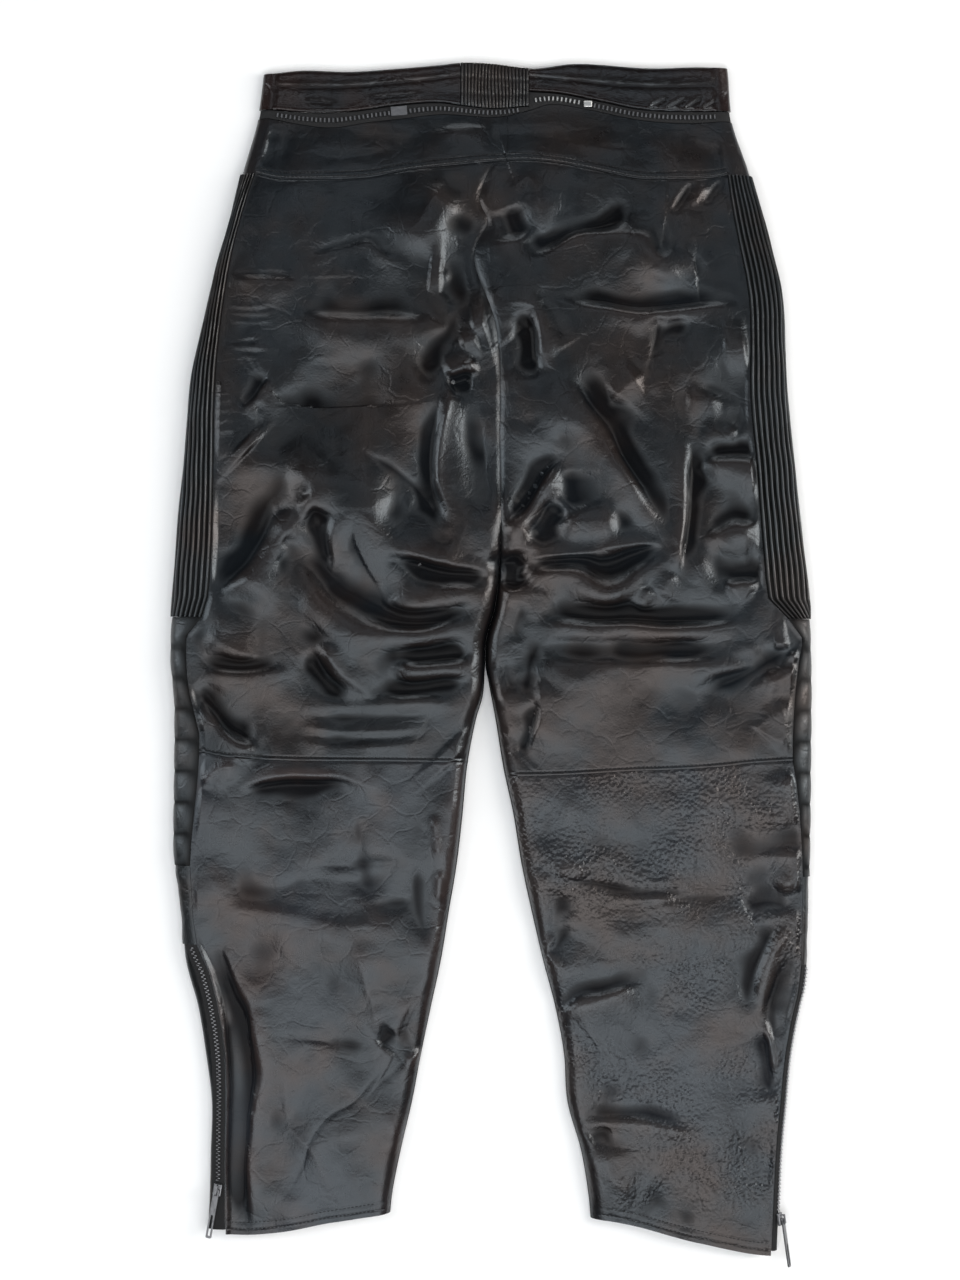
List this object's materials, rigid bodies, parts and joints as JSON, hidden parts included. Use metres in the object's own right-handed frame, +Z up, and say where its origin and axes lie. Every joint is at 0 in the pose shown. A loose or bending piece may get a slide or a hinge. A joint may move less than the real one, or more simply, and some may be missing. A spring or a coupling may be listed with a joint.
{
  "type": "motorcycle trousers",
  "caption": "Leather motorcycle trousers laid flat, back up, with ribbed sides, padded knee sides, a waist joining zip and calf zips with hinged pulls.",
  "frame": {"origin": "centre of the footprint, on the table under the trousers", "axes": "+X to the right seen from above, +Y from the hems to the waist, +Z up from the table; the back of the garment faces +Z"},
  "size_m": [0.5701, 1.0673, 0.0338],
  "materials": {
    "leather": "worn black leather, semi-gloss with fine pebble grain",
    "elastic": "thin shirred black leather over elastic, satin",
    "zip_tape": "woven black cotton tape, matt",
    "zip_metal": "worn dark nickel",
    "bright_metal": "bright nickel"
  },
  "bodies": {
    "trousers": {"waistband_left": "leather", "waistband_right": "leather", "yoke_left": "leather", "yoke_right": "leather", "seat_left": "leather", "seat_right": "leather", "rib_side_left": "leather", "rib_side_right": "leather", "knee_side_left": "leather", "knee_side_right": "leather", "shin_side_left": "leather", "shin_side_right": "leather", "gusset_left": "leather", "gusset_right": "leather", "calf_left": "leather", "calf_right": "leather", "front_waistband_left": "leather", "front_waistband_right": "leather", "front_hip_left": "leather", "front_hip_right": "leather", "front_thigh_left": "leather", "front_thigh_right": "leather", "front_knee_left": "leather", "front_knee_right": "leather", "front_shin_left": "leather", "front_shin_right": "leather", "fly": "leather", "waist_shirring": "elastic", "connection_tape_left": "zip_tape", "connection_tape_right": "zip_tape", "calf_tape_left": "zip_tape", "calf_tape_right": "zip_tape", "connection_chain_left": "zip_metal", "connection_chain_right": "zip_metal", "calf_chain_left": "zip_metal", "calf_chain_right": "zip_metal", "calf_slider_left": "zip_metal", "calf_slider_right": "zip_metal", "connection_slider": "bright_metal"},
    "pull_left": {"calf_pull_left": "zip_metal"},
    "pull_right": {"calf_pull_right": "zip_metal"}
  },
  "joints": [
    {"name": "pull_left_hinge", "type": "hinge", "parent": "trousers", "child": "pull_left", "pos_m": [-0.24337, -0.46682, 0.01805], "axis": [-0.9626, 0.1697, -0.2114], "range_deg": [0, 165]},
    {"name": "pull_right_hinge", "type": "hinge", "parent": "trousers", "child": "pull_right", "pos_m": [0.25764, -0.49339, 0.01238], "axis": [-0.4562, -0.0641, 0.8876], "range_deg": [0, 165]}
  ]
}
